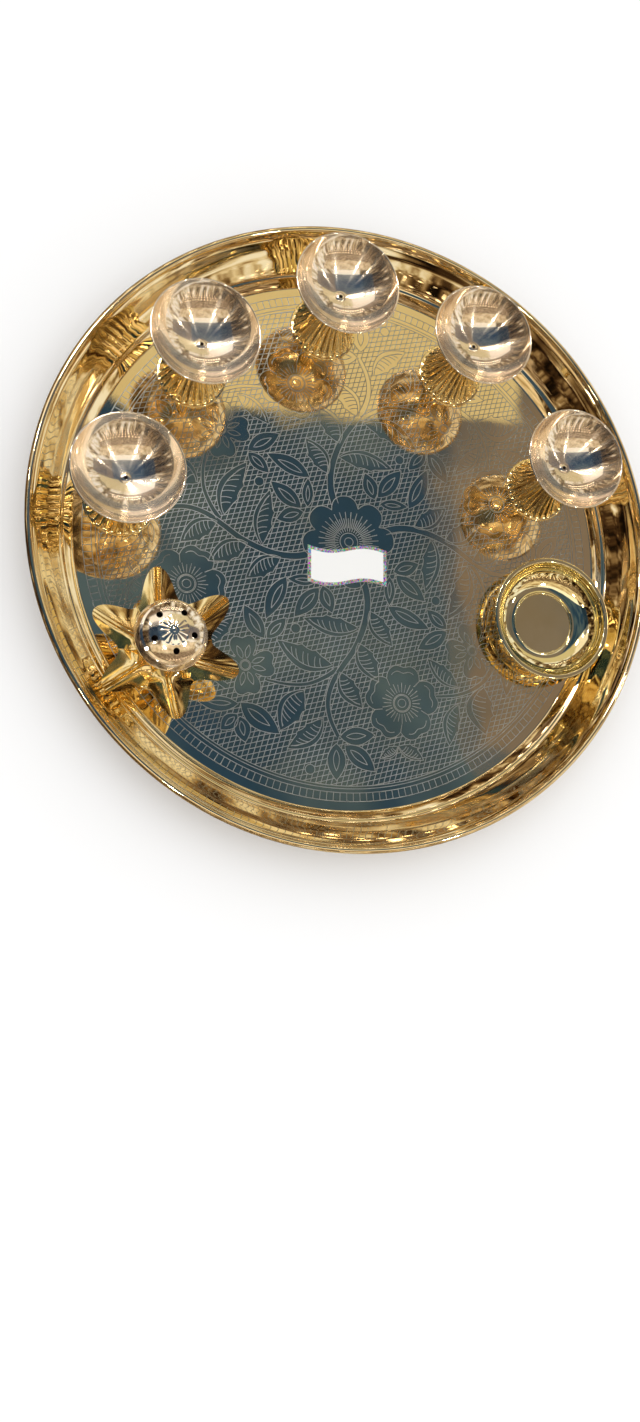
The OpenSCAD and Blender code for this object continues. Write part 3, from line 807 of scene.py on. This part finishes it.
close_tree(flutes_tree, source, moved.outputs[0], output)
print("flutes tree has", len(flutes_tree.nodes), "nodes")

# %% Tree that sets copies round an axis
ring_tree, source, output = new_tree("copies_round_an_axis", [
    ("Count", "NodeSocketInt"), ("Start", "NodeSocketFloat"), ("Centre", "NodeSocketVector"),
    ("Weld", "NodeSocketFloat"), ("Material", "NodeSocketMaterial")])
spots = add(ring_tree, "GeometryNodePoints",
            {"Count": source.outputs["Count"], "Position": source.outputs["Centre"]})
index = add(ring_tree, "GeometryNodeInputIndex").outputs[0]
part = add(ring_tree, "ShaderNodeMath", {0: index, 1: source.outputs["Count"]}, operation="DIVIDE")
angle = add(ring_tree, "ShaderNodeMath", {0: part.outputs[0], 1: 2 * math.pi,
                                          2: source.outputs["Start"]}, operation="MULTIPLY_ADD")
spun = add(ring_tree, "ShaderNodeCombineXYZ", {"Z": angle.outputs[0]})
copies = add(ring_tree, "GeometryNodeInstanceOnPoints",
             {"Points": spots.outputs[0], "Instance": source.outputs["Geometry"],
              "Rotation": spun.outputs[0]})
real = add(ring_tree, "GeometryNodeRealizeInstances", {0: copies.outputs[0]})
welded = add(ring_tree, "GeometryNodeMergeByDistance",
             {"Geometry": real.outputs[0], "Distance": source.outputs["Weld"]})
close_tree(ring_tree, source, welded.outputs[0], output)
print("ring tree has", len(ring_tree.nodes), "nodes")


# %% [markdown]
# ## Goblet bowls
# Each bowl is turned from pale brass: part of a sphere with a thin lip rolled outward. Its far side
# mirrors the room once. On the near side light bounces twice, so a deeper band shows there.

# %% Goblet bowls
GOBLET_H, BOWL_R, BOWL_CURVE_R, BOWL_FLAT_R, LIP_ROLL_R = 43.2, 23.0, 25.6, 2.8, 0.45
BOWL_T, LIP_T = 0.6, 0.3
RIVET_R, RIVET_HEAD_R, RIVET_HEAD_H, SHANK_GAP = 1.4, 2.3, 0.6, 0.1
edge_deg = math.degrees(math.asin((BOWL_R - LIP_ROLL_R) / (BOWL_CURVE_R + LIP_ROLL_R)))
flat_deg = math.degrees(math.asin(BOWL_FLAT_R / BOWL_CURVE_R))
LIP_ROLL_Z = GOBLET_H - LIP_ROLL_R
BOWL_MID_Z = LIP_ROLL_Z + (BOWL_CURVE_R + LIP_ROLL_R) * math.cos(math.radians(edge_deg))
BOWL_FLOOR_Z = BOWL_MID_Z - BOWL_CURVE_R * math.cos(math.radians(flat_deg))


def bowl_outline():
    """The bowl's shown face, from the rivet hole over the lip, and the sheet's thickness along it."""
    face = ([(RIVET_R + SHANK_GAP, BOWL_FLOOR_Z)]
            + arc(0, BOWL_MID_Z, BOWL_CURVE_R, flat_deg - 90, edge_deg - 90, 60))
    lip = arc(BOWL_R - LIP_ROLL_R, LIP_ROLL_Z, LIP_ROLL_R, 84 + edge_deg, 10, 14)
    thins = list(np.linspace(BOWL_T, LIP_T, 4))
    return face + lip, [BOWL_T] * (len(face) - len(thins)) + thins + [LIP_T] * len(lip)


for i in GOBLETS:
    bowl = spin(f"goblet_{i}_bowl", sheet(*bowl_outline()), goblet_seat[i])
    dress(bowl, bowl_brass, f"goblet_{i}", f"goblet_bowl_{i}", crease=20)


# %% [markdown]
# ## Fluted feet
# A foot is pressed from sheet: a plain hem that stands on the tray, and a hollow-sided cone whose
# pleats run up to the neck. The plain cone is spun first, then the flutes tree presses the pleats in.

# %% Fluted feet
HEM_R, HEM_T, CONE_R, NECK_R, CONE_BEND = 15.5, 0.9, 14.4, 4.6, 1.7
FOOT_T, PLATE_T, FLUTES, FLUTE_D = 0.7, 1.0, 28, 0.9
FLUTE_STEPS, CONE_ROWS, HEM_SHARE = 14, 24, 0.35


def ridge_r(z, height):
    """Radius of a foot's ridges at height z."""
    left = max(0, 1 - (z - HEM_T) / (height - HEM_T))
    return NECK_R + (CONE_R - NECK_R) * left ** CONE_BEND


def fluted_foot(name, seat, height, hole):
    """A hollow foot with pressed flutes, open below, closed at the neck by a plate with a hole."""
    rows = np.linspace(HEM_T, height, CONE_ROWS)
    bead = arc(HEM_R - HEM_T / 2, HEM_T / 2, HEM_T / 2, -90, 90, 8)
    outer = [(ridge_r(z, height), z) for z in rows]
    inner = [(ridge_r(z, height) - FOOT_T, z)
             for z in np.linspace(height - PLATE_T, HEM_T, CONE_ROWS)]
    section = bead + outer + [(hole, height), (hole, height - PLATE_T)] + inner
    section.append((CONE_R - FOOT_T, 0))
    foot = spin(name, section, seat, around=FLUTES * FLUTE_STEPS)
    shares = [0] * len(bead)
    shares += [ridge_r(z, height) / CONE_R * min(1, HEM_SHARE + (z - HEM_T) / 2) for _, z in outer]
    shares += [0, 0]
    shares += [ridge_r(z, height) / CONE_R for _, z in inner] + [0]
    layer = foot.data.attributes.new("flute_share", "FLOAT", "POINT")
    layer.data.foreach_set("value", np.repeat(np.array(shares, np.float32), FLUTES * FLUTE_STEPS))
    return grow(foot, flutes_tree, {"Count": FLUTES, "Depth": FLUTE_D * MM, "Centre": seat,
                                    "Lift": 0.0, "Material": foot_brass})


GOBLET_FOOT_H = BOWL_FLOOR_Z - BOWL_T
for i in GOBLETS:
    foot = fluted_foot(f"goblet_{i}_foot", goblet_seat[i], GOBLET_FOOT_H, RIVET_R + SHANK_GAP)
    dress(foot, foot_brass, f"goblet_{i}", f"goblet_foot_{i}", crease=50)

# %% [markdown]
# ## Rivets
# One rivet holds each bowl on its foot. Its low head has a hollow eye: the dark dot in the bowl.
# The eye and the other hollows get a dark brown painted shade, and one function gives it to chosen
# faces.

# %% Rivets
EYE_R, DOME_TOP, EDGE = 0.85, 0.42, 0.2


def darken(piece, seat, inside):
    """Gives a dark brown painted shade to the faces whose distance from the axis and height, in mm,
    are inside.
    """
    piece.data.materials.append(hollow_shade)
    for face in piece.data.polygons:
        off = (face.center - seat) / MM
        face.material_index = 1 if inside(math.hypot(off.x, off.y), off.z) else 0


for i in GOBLETS:
    low = GOBLET_FOOT_H - PLATE_T - RIVET_HEAD_H
    section = [(0, low), (RIVET_HEAD_R, low), (RIVET_HEAD_R, low + RIVET_HEAD_H),
               (RIVET_R, low + RIVET_HEAD_H), (RIVET_R, BOWL_FLOOR_Z), (RIVET_HEAD_R, BOWL_FLOOR_Z),
               (RIVET_HEAD_R - EDGE, BOWL_FLOOR_Z + EDGE), (RIVET_R, BOWL_FLOOR_Z + DOME_TOP),
               (EYE_R, BOWL_FLOOR_Z + DOME_TOP), (EYE_R, low + RIVET_HEAD_H), (0, low + RIVET_HEAD_H)]
    rivet = spin(f"goblet_{i}_rivet", section, goblet_seat[i], around=48, closed=False)
    dress(rivet, bowl_brass, f"goblet_{i}", f"goblet_rivet_{i}", crease=40)
    # Painted shade: the inside of the rivet's eye is painted dark brown.
    darken(rivet, goblet_seat[i], lambda away, z: away < EYE_R + 0.02)


# %% [markdown]
# ## Katori
# A katori is a small bowl for offerings. This one is spun in one piece: a barely dished base, one
# raised line round it, a rounded wall and a narrow flat rim.

# %% Katori
KATORI_R, KATORI_H, KATORI_BASE_R, KATORI_MOUTH_R = 28.9, 12.0, 15.0, 26.4
KATORI_T, KATORI_LINE_H, KATORI_CREST_R, KATORI_DISH = 0.7, 0.5, 0.75, 0.35


def katori_outline():
    """The katori's shown face, from the middle of its base to the edge of its rim."""
    crest_z, bead_r = KATORI_H - KATORI_CREST_R, KATORI_LINE_H
    dish = [(r, KATORI_T + KATORI_DISH * (r / KATORI_BASE_R) ** 2)
            for r in np.linspace(0, KATORI_BASE_R - 2 * bead_r, 24)]
    wall_z, wall_w = KATORI_T + KATORI_DISH, KATORI_MOUTH_R - KATORI_BASE_R
    return (dish
            + arc(KATORI_BASE_R - bead_r, wall_z, bead_r, 165, 30, 12)
            + arc(KATORI_BASE_R, crest_z, wall_w, -86, 0, 40, (crest_z - wall_z) / wall_w)
            + arc(KATORI_MOUTH_R + KATORI_CREST_R, crest_z, KATORI_CREST_R, 160, 92, 10)
            + arc(KATORI_R - KATORI_CREST_R, crest_z, KATORI_CREST_R, 88, 0, 10))


katori = spin("katori_bowl", sheet(katori_outline(), KATORI_T), katori_seat, around=320)
dress(katori, katori_brass, "katori", "katori", crease=24)


# %% [markdown]
# ## Lotus petals
# One sheet is cut to six petals, pressed into a hollow along each, and bent up. A fine crease runs
# along each petal's middle. One petal is modelled as a sector of the sheet, and the ring tree sets
# six of them round the axis and welds their sides.

# %% Lotus petals
PETALS, PETAL_R, NOTCH_R, PETAL_TIP_Z, PETAL_T = 6, 31.4, 19.0, 28.5, 0.8
PETAL_TURN, PETAL_FLAT_R, PETAL_RISE_R = 32, 5.4, 12.0
PETAL_CUP_SHARE, PETAL_BEND, PETAL_POINT, PETAL_BLEND_W = 0.85, 1.4, 2.6, 9
INCENSE_FOOT_H, ROD_R = 16.4, RIVET_R + RIVET_HEAD_H
PETAL_HOLLOW, CREASE_H, CREASE_W = 3.0, 0.25, 0.6
PETAL_ROWS, PETAL_COLUMNS, FLAT_ROWS = 60, 72, 6


def petal_edge(angle):
    """Reach of the sheet at an angle, in degrees, off the petal's middle line."""
    along = max(0, math.cos(math.radians(PETALS * angle / 2)))
    return NOTCH_R + (PETAL_R - NOTCH_R) * along ** PETAL_POINT


def petal_z(x, w):
    """Height of the sheet at x along the petal and w beside it."""
    low = INCENSE_FOOT_H + PETAL_T
    out = max(0, x - PETAL_RISE_R) / (PETAL_R - PETAL_RISE_R)
    fade = min(1, max(0, x - PETAL_FLAT_R) / PETAL_BLEND_W)
    cup = PETAL_CUP_SHARE * (math.hypot(w, PETAL_HOLLOW) - PETAL_HOLLOW)
    crease = CREASE_H * math.exp(-(w / CREASE_W) ** 2)
    return low + (PETAL_TIP_Z - low) * out ** PETAL_BEND + (cup + crease) * fade


def petal_sector():
    """One sixth of the lotus sheet as a mesh, top and underside, at the axis."""
    half = 180 / PETALS
    inner = ROD_R + SHANK_GAP
    grid = []
    for down in (0, PETAL_T):
        for k in range(PETAL_ROWS + 1):
            for i in range(PETAL_COLUMNS + 1):
                a = -half + 2 * half * i / PETAL_COLUMNS
                share = max(0, k - FLAT_ROWS) / (PETAL_ROWS - FLAT_ROWS)
                r = (inner + (PETAL_FLAT_R - inner) * min(k, FLAT_ROWS) / FLAT_ROWS
                     + (petal_edge(a) - PETAL_FLAT_R) * share)
                x, w = r * math.cos(math.radians(a)), r * math.sin(math.radians(a))
                grid.append(Vector((x, w, petal_z(x, w) - down)) * MM)
    wide, below = PETAL_COLUMNS + 1, (PETAL_ROWS + 1) * (PETAL_COLUMNS + 1)
    faces = []
    for k in range(PETAL_ROWS):
        for i in range(PETAL_COLUMNS):
            a, b = k * wide + i, (k + 1) * wide + i
            faces.append((a, b, b + 1, a + 1))
            faces.append((a + below, a + 1 + below, b + 1 + below, b + below))
    for k in (0, PETAL_ROWS):
        for i in range(PETAL_COLUMNS):
            a = k * wide + i
            faces.append((a, a + 1, a + 1 + below, a + below) if k == 0
                         else (a, a + below, a + 1 + below, a + 1))
    piece = shell("lotus_petals", grid, faces)
    piece.data.uv_layers.new(name="turning")
    return piece


lotus = grow(petal_sector(), ring_tree, {"Count": PETALS, "Start": math.radians(PETAL_TURN),
                                         "Centre": incense_seat, "Weld": 0.002 * MM,
                                         "Material": petal_brass})
outward(lotus.data)
dress(lotus, petal_brass, "incense_stand", "incense_petals", crease=50)


# %% [markdown]
# ## Foot, stem and rod of the incense stand
# The foot is a shorter version of the goblets' foot. Above the petals a turned stem carries the cup,
# and a headed rod clamps the whole stand. Both hardly show, but they close the view from the side.

# %% Foot, stem and rod
CUP_TOP_Z, CUP_DEPTH, CUP_T = 46.1, 6.0, 0.6
CUP_FLOOR_Z = CUP_TOP_Z - CUP_DEPTH
STEM_R, STEM_FLANGE_R, STEM_FLANGE_H, STEM_BALL_R = 3.4, 5.2, 1.6, 5.4

foot = fluted_foot("incense_foot_fluted", incense_seat, INCENSE_FOOT_H, ROD_R + SHANK_GAP)
dress(foot, foot_brass, "incense_stand", "incense_foot", crease=50)

stem_low, stem_high = INCENSE_FOOT_H + PETAL_T, CUP_FLOOR_Z - CUP_T
stem_mid = (stem_low + stem_high) / 2
ball_half = math.degrees(math.acos(STEM_R / STEM_BALL_R))
section = ([(ROD_R + SHANK_GAP, stem_low), (STEM_FLANGE_R, stem_low),
            (STEM_FLANGE_R, stem_low + STEM_FLANGE_H), (STEM_R, stem_low + STEM_FLANGE_H)]
           + arc(0, stem_mid, STEM_BALL_R, -ball_half, ball_half, 24)
           + [(STEM_R, stem_high - STEM_FLANGE_H), (STEM_FLANGE_R, stem_high - STEM_FLANGE_H),
              (STEM_FLANGE_R, stem_high), (ROD_R + SHANK_GAP, stem_high)])
stem = spin("incense_stem_turned", section, incense_seat, around=96)
dress(stem, foot_brass, "incense_stand", "incense_stem")

rod_low = INCENSE_FOOT_H - PLATE_T - RIVET_HEAD_H
section = [(0, rod_low), (ROD_R + RIVET_R, rod_low), (ROD_R + RIVET_R, rod_low + RIVET_HEAD_H),
           (ROD_R, rod_low + RIVET_HEAD_H), (ROD_R, CUP_FLOOR_Z), (ROD_R + RIVET_R, CUP_FLOOR_Z),
           (ROD_R + RIVET_R, CUP_FLOOR_Z + RIVET_HEAD_H), (0, CUP_FLOOR_Z + RIVET_HEAD_H)]
rod = spin("incense_rod_headed", section, incense_seat, around=48, closed=False)
dress(rod, foot_brass, "incense_stand", "incense_rod")


# %% [markdown]
# ## Cup and milled edge
# The cup under the cap is turned from the bowls' pale brass. Its rim turns down into a creased skirt,
# which ends in a milled band: one small tooth, set round the axis many times by the ring tree.

# %% Cup
CUP_MOUTH_R, CUP_SKIRT_R, CUP_SKIRT_DROP, CUP_CREST_R, CUP_EASE = 11.6, 14.5, 4.6, 0.7, 2.0
CREASE_ACROSS_SHARE, CREASE_DOWN_SHARE = 0.52, 0.42
MILL_H, MILL_OUT, TEETH, TOOTH_FILL = 1.2, 0.25, 140, 0.42


def cup_outline():
    """The cup's shown face, from the rod's hole over the crest to the foot of the skirt."""
    crest_x, crest_z = CUP_MOUTH_R + CUP_CREST_R, CUP_TOP_Z - CUP_CREST_R
    bend = arc(crest_x, crest_z, CUP_CREST_R, 180, 50, 14)
    start, end = bend[-1], (CUP_SKIRT_R - MILL_OUT, CUP_TOP_Z - (CUP_SKIRT_DROP - MILL_H))
    crease = (start[0] + (end[0] - start[0]) * CREASE_ACROSS_SHARE,
              start[1] + (end[1] - start[1]) * CREASE_DOWN_SHARE)
    return ([(ROD_R + SHANK_GAP, CUP_FLOOR_Z)]
            + arc(CUP_MOUTH_R - CUP_EASE, CUP_FLOOR_Z + CUP_EASE, CUP_EASE, -90, 0, 12)
            + bend + [crease, end, (CUP_SKIRT_R - MILL_OUT, CUP_TOP_Z - CUP_SKIRT_DROP)])


cup = spin("incense_cup_turned", sheet(cup_outline(), CUP_T), incense_seat, around=192)
dress(cup, bowl_brass, "incense_stand", "incense_cup", crease=20)
# Painted shade: the cup's inside is painted dark brown.
darken(cup, incense_seat,
       lambda away, z: away < CUP_MOUTH_R + 0.02 and CUP_FLOOR_Z - 0.1 < z < CUP_TOP_Z - 1)

# %% Milled edge
tooth_w = 2 * math.pi * CUP_SKIRT_R / TEETH * TOOTH_FILL
outer, inner = CUP_SKIRT_R, CUP_SKIRT_R - MILL_OUT - CUP_T / 2
low, high = CUP_TOP_Z - CUP_SKIRT_DROP, CUP_TOP_Z - CUP_SKIRT_DROP + MILL_H
lean = MILL_OUT / 2
corners = [(inner, -tooth_w, low), (inner, tooth_w, low), (outer, 0, low + lean),
           (inner, -tooth_w, high), (inner, tooth_w, high), (outer, 0, high - lean)]
teeth = shell("milled_edge", [Vector(c) * MM for c in corners],
              [(0, 1, 2), (3, 5, 4), (0, 2, 5, 3), (1, 4, 5, 2), (0, 3, 4, 1)])
teeth.data.uv_layers.new(name="turning")
grow(teeth, ring_tree, {"Count": TEETH, "Start": 0.0, "Centre": incense_seat, "Weld": 0.0,
                        "Material": bowl_brass})
outward(teeth.data)
dress(teeth, bowl_brass, "incense_stand", None, crease=20)


# %% [markdown]
# ## Pierced cap
# The cap is a low dome on a stepped lip. A rosette of shallow flutes is pressed round a small boss
# in its middle, and five holes take the incense sticks. The sides of the holes and the dome's
# underside carry a dark brown painted shade.

# %% Pierced cap
CAP_T, DOME_R, DOME_H = 1.2, 11.6, 3.4
LIP_R, LIP_H, LIP_PLUG_H, LIP_FALL = 12.5, 1.5, 1.6, 0.4
INCENSE_H, STICKS, STICK_HOLE_R, STICK_RING_R, STICK_TURN = 52.6, 5, 1.25, 8.1, 55
ROSETTE_R, ROSETTE_FLUTES, ROSETTE_D, BOSS_R = 6.0, 16, 0.07, 1.5
BOSS_RING_R, BOSS_RING_W, BOSS_RING_D, DRILL_L = 1.1, 0.4, 0.1, 12
lip_inner_r = CUP_MOUTH_R - SHANK_GAP
ball_r = (DOME_R ** 2 + DOME_H ** 2) / (2 * DOME_H)


def dome_z(r):
    """Height of the dome's outside at radius r."""
    ring = BOSS_RING_D * math.exp(-((r - BOSS_RING_R) / BOSS_RING_W) ** 2)
    return INCENSE_H - ball_r + math.sqrt(ball_r ** 2 - r ** 2) - ring


dome = [(r, dome_z(r)) for r in np.concatenate([np.linspace(0, ROSETTE_R + 0.6, 34),
                                                np.linspace(ROSETTE_R + 1.2, DOME_R, 14)])]
inside = [(r, dome_z(r) - CAP_T) for r in np.linspace(DOME_R - CAP_T, 0, 12)]
section = (dome + [(DOME_R, CUP_TOP_Z + LIP_H), (LIP_R, CUP_TOP_Z + LIP_H - LIP_FALL),
                   (LIP_R, CUP_TOP_Z), (lip_inner_r, CUP_TOP_Z),
                   (lip_inner_r, CUP_TOP_Z - LIP_PLUG_H), (DOME_R - CAP_T, CUP_TOP_Z - LIP_PLUG_H)]
           + inside)
CAP_AROUND = ROSETTE_FLUTES * 16
cap = spin("incense_cap_pierced", section, incense_seat, around=CAP_AROUND, closed=False)
offsets = [(v.co - incense_seat) / MM for v in cap.data.vertices]
radii = np.array([math.hypot(off.x, off.y) for off in offsets])
on_top = np.array([off.z for off in offsets]) > INCENSE_H - DOME_H - 0.1
rosette_share = (np.clip((radii - BOSS_R) / 0.8, 0, 1)
                 * np.clip((ROSETTE_R - radii) / 0.5, 0, 1) * on_top)
layer = cap.data.attributes.new("flute_share", "FLOAT", "POINT")
layer.data.foreach_set("value", rosette_share.astype(np.float32))
grow(cap, flutes_tree, {"Count": ROSETTE_FLUTES, "Depth": ROSETTE_D * MM, "Centre": incense_seat,
                        "Lift": 1.0, "Material": bowl_brass})

drill_mesh = bpy.data.meshes.new("drill")
work = bmesh.new()
for k in range(STICKS):
    turn = math.radians(STICK_TURN + 360 * k / STICKS)
    off = Vector((STICK_RING_R * math.cos(turn), STICK_RING_R * math.sin(turn), INCENSE_H)) * MM
    bmesh.ops.create_cone(work, cap_ends=True, segments=48, radius1=STICK_HOLE_R * MM,
                          radius2=STICK_HOLE_R * MM, depth=DRILL_L * MM,
                          matrix=Matrix.Translation(incense_seat + off))
work.to_mesh(drill_mesh)
work.free()
drill = show("drill", drill_mesh)
cut = cap.modifiers.new("holes", "BOOLEAN")
cut.operation, cut.solver, cut.object = "DIFFERENCE", "EXACT", drill
settle(cap)
bpy.data.objects.remove(drill)
dress(cap, cap_brass, "incense_stand", "incense_cap", crease=24)
# Painted shade: the hole walls and the dome's underside are painted dark brown.
darken(cap, incense_seat,
       lambda away, z: CUP_TOP_Z + LIP_H < z < dome_z(away) - 0.12 and away < DOME_R - 0.05)


# %% [markdown]
# ## Label
# A paper label lies on the tray. It is blank, with a glittering silver border.

# %% Label
label_low, label_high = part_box("blank_label")
LABEL_W, LABEL_D, LABEL_T, LABEL_TURN = 37.0, 20.0, 0.15, -7
WAVE_H, BORDER_W, FLAKES_PER_M = 1.6, 1.5, 1800.0
label_at = Vector(((label_low.x + label_high.x) / 2, (label_low.y + label_high.y) / 2, label_low.z))


def label_edge(inset):
    """The label's waved outline, drawn in by an inset, in millimetres."""
    half_w, half_d = LABEL_W / 2 - inset, LABEL_D / 2 - WAVE_H - inset
    xs = np.linspace(-half_w, half_w, 40)
    return [(x, side * half_d + WAVE_H * math.sin(2 * math.pi * x / LABEL_W))
            for side, row in ((1, xs), (-1, xs[::-1])) for x in row]


paper = plain("coated_paper", {"Base Color": linear("f4f4f2"), "Roughness": 0.45})
foil, tree, output = new_material("glitter_foil")
where = add(tree, "ShaderNodeTexCoord").outputs["Object"]
flakes = add(tree, "ShaderNodeTexVoronoi", {"Vector": where, "Scale": FLAKES_PER_M})
face = add(tree, "ShaderNodeBsdfPrincipled",
           {"Base Color": flakes.outputs["Color"], "Metallic": 0.6, "Roughness": 0.3})
tree.links.new(face.outputs[0], output.inputs["Surface"])

outer, inner = label_edge(0), label_edge(BORDER_W)
count = len(outer)
spun = Matrix.Rotation(math.radians(LABEL_TURN), 4, "Z")
points = [spun @ (Vector((x, y, z)) * MM) + label_at
          for edge, z in ((outer, 0), (outer, LABEL_T), (inner, LABEL_T)) for x, y in edge]
faces = [tuple(reversed(range(count))), tuple(range(2 * count, 3 * count))]
for k in (0, 1):
    faces += [(k * count + i, k * count + (i + 1) % count, (k + 1) * count + (i + 1) % count,
               (k + 1) * count + i) for i in range(count)]
label = shell("paper_label", points, faces)
outward(label.data)
label.data.materials.append(paper)
label.data.materials.append(foil)
for k, polygon in enumerate(label.data.polygons):
    polygon.material_index = 1 if k >= 2 + count else 0
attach(label, "tray")
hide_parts("blank_label")
